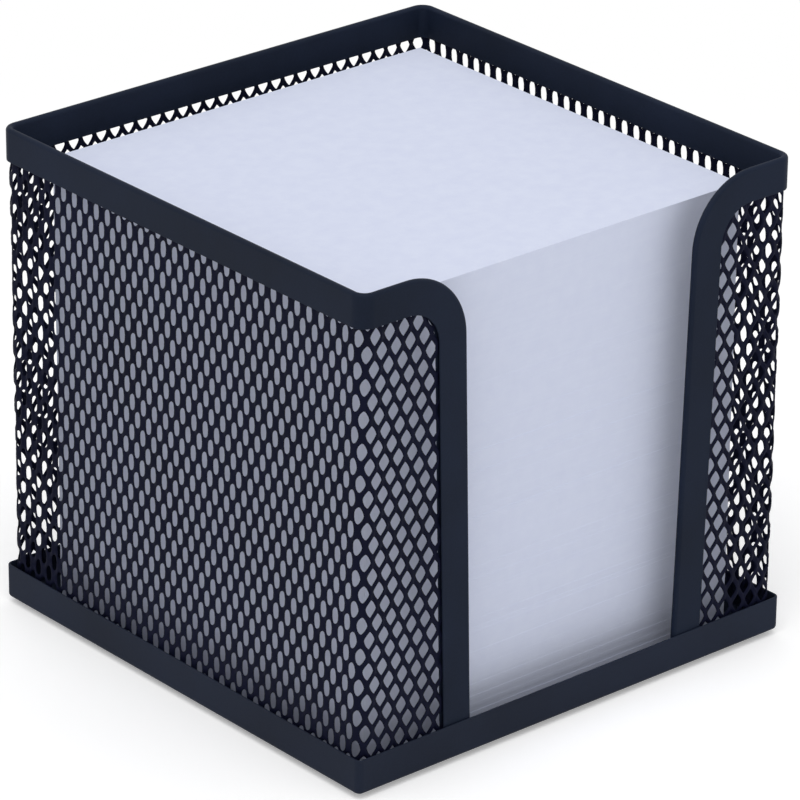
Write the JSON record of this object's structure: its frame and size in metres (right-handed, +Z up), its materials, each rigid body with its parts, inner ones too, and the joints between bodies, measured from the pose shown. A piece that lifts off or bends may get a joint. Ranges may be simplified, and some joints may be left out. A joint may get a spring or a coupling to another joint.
{
  "type": "memo cube holder",
  "caption": "Square desk holder of black expanded steel mesh with a full-height finger slot, a folded rim and a cube of loose white note sheets.",
  "frame": {"origin": "on the desk, under the middle of the base", "axes": "+Z up, the finger slot faces -Y, +X to the right of a person who faces the slot"},
  "size_m": [0.105, 0.105, 0.0983],
  "materials": {
    "coated_steel": "satin black powder coat with a blue cast",
    "coated_mesh": "satin black powder coat over raised expanded steel",
    "note_paper": "uncoated white writing paper, matt",
    "foam_rubber": "matt closed-cell foam rubber"
  },
  "bodies": {
    "holder": {"base_tray": "coated_steel", "pad_front_left": "foam_rubber", "pad_front_right": "foam_rubber", "pad_back_left": "foam_rubber", "pad_back_right": "foam_rubber", "mesh_back": "coated_mesh", "mesh_left": "coated_mesh", "mesh_right": "coated_mesh", "mesh_front_left": "coated_mesh", "mesh_front_right": "coated_mesh", "mesh_corner_back_left": "coated_mesh", "mesh_corner_back_right": "coated_mesh", "mesh_corner_front_left": "coated_mesh", "mesh_corner_front_right": "coated_mesh", "rim_back": "coated_steel", "rim_left": "coated_steel", "rim_right": "coated_steel", "rim_front_left": "coated_steel", "rim_front_right": "coated_steel", "rim_corner_back_left": "coated_steel", "rim_corner_back_right": "coated_steel", "rim_corner_front_left": "coated_steel", "rim_corner_front_right": "coated_steel", "shoulder_left": "coated_steel", "shoulder_right": "coated_steel", "slot_trim_left": "coated_steel", "slot_trim_right": "coated_steel"},
    "memo_stack": {"memo_block": "note_paper"},
    "loose_sheet": {"top_sheet": "note_paper"}
  },
  "joints": [
    {"name": "stack_lift", "type": "slide", "parent": "holder", "child": "memo_stack", "axis": [0, 0, 1], "range_m": [0, 0.1]},
    {"name": "sheet_lift", "type": "slide", "parent": "memo_stack", "child": "loose_sheet", "axis": [0, 0, 1], "range_m": [0, 0.04]}
  ]
}
